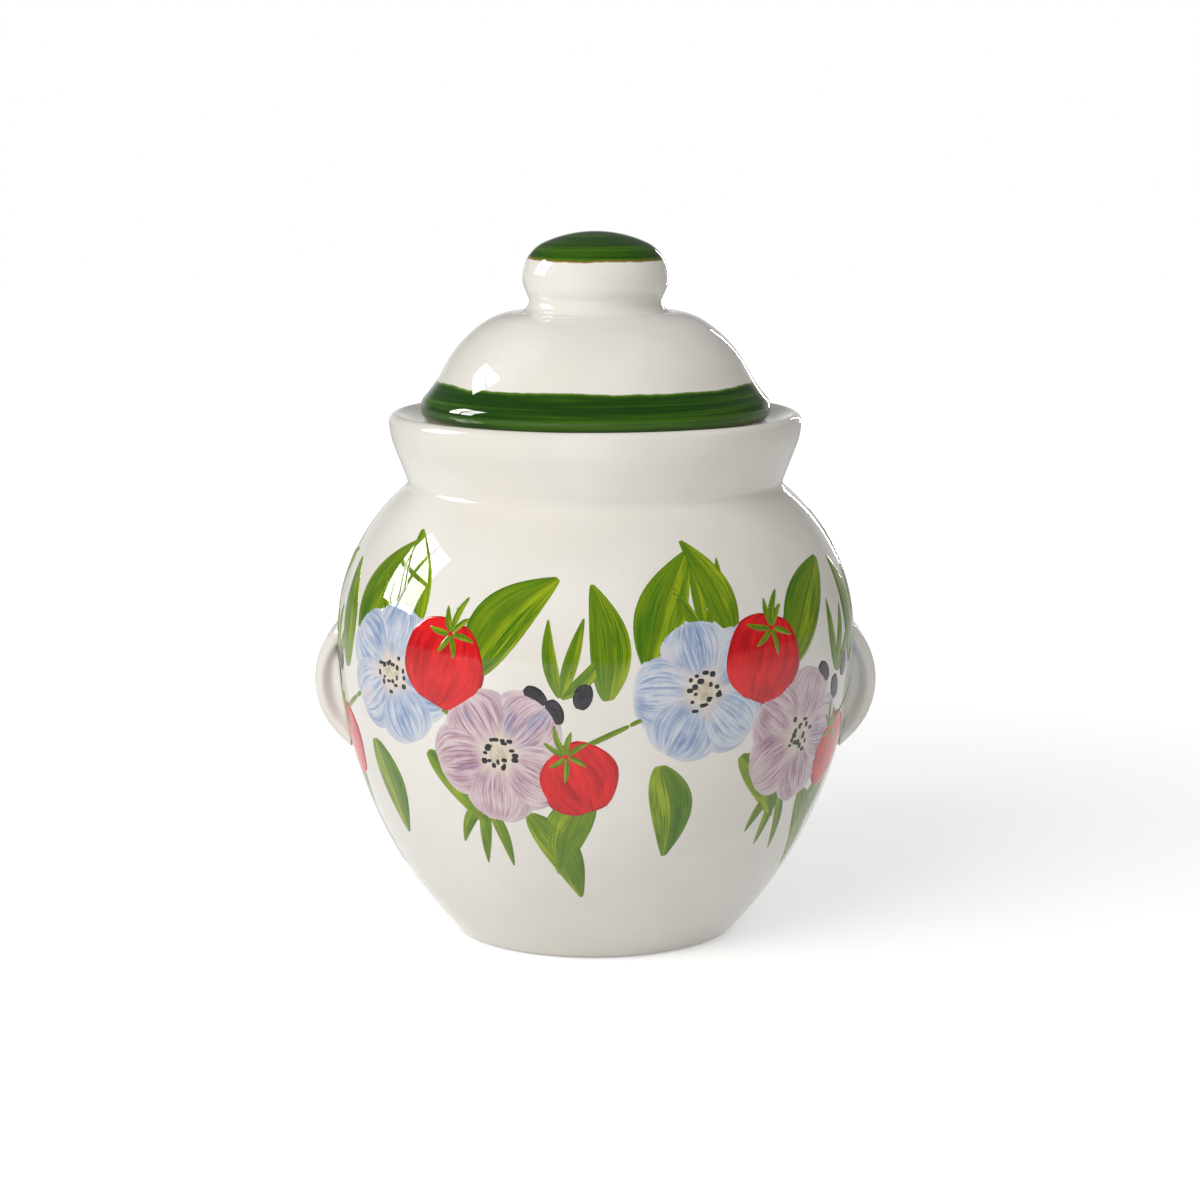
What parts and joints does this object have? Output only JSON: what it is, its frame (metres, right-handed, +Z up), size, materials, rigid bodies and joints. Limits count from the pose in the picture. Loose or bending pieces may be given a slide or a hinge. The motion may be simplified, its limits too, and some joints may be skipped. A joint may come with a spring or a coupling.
{
  "type": "lidded ceramic jar",
  "caption": "Round-bellied glazed ceramic storage jar with flared neck, blind side lugs and a loose domed lid with a hollow knob.",
  "frame": {"origin": "centre of the foot ring, on the surface that the jar stands on", "axes": "+Z up along the jar's axis; the lugs lie along X; the pictured side faces -Y"},
  "size_m": [0.1648, 0.152, 0.2055],
  "materials": {
    "jar_glaze": "clear gloss glaze over ivory slip, with painted garland",
    "lid_glaze": "clear gloss glaze over ivory slip, with leaf-green painted band and cap"
  },
  "bodies": {
    "jar": {"jar_body": "jar_glaze", "lug_left": "jar_glaze", "lug_right": "jar_glaze"},
    "lid": {"lid_dome": "lid_glaze", "lid_collar": "lid_glaze", "lid_knob": "lid_glaze"}
  },
  "joints": [
    {"name": "lid_lift", "type": "slide", "parent": "jar", "child": "lid", "axis": [0, 0, 1], "range_m": [0, 0.12]}
  ]
}
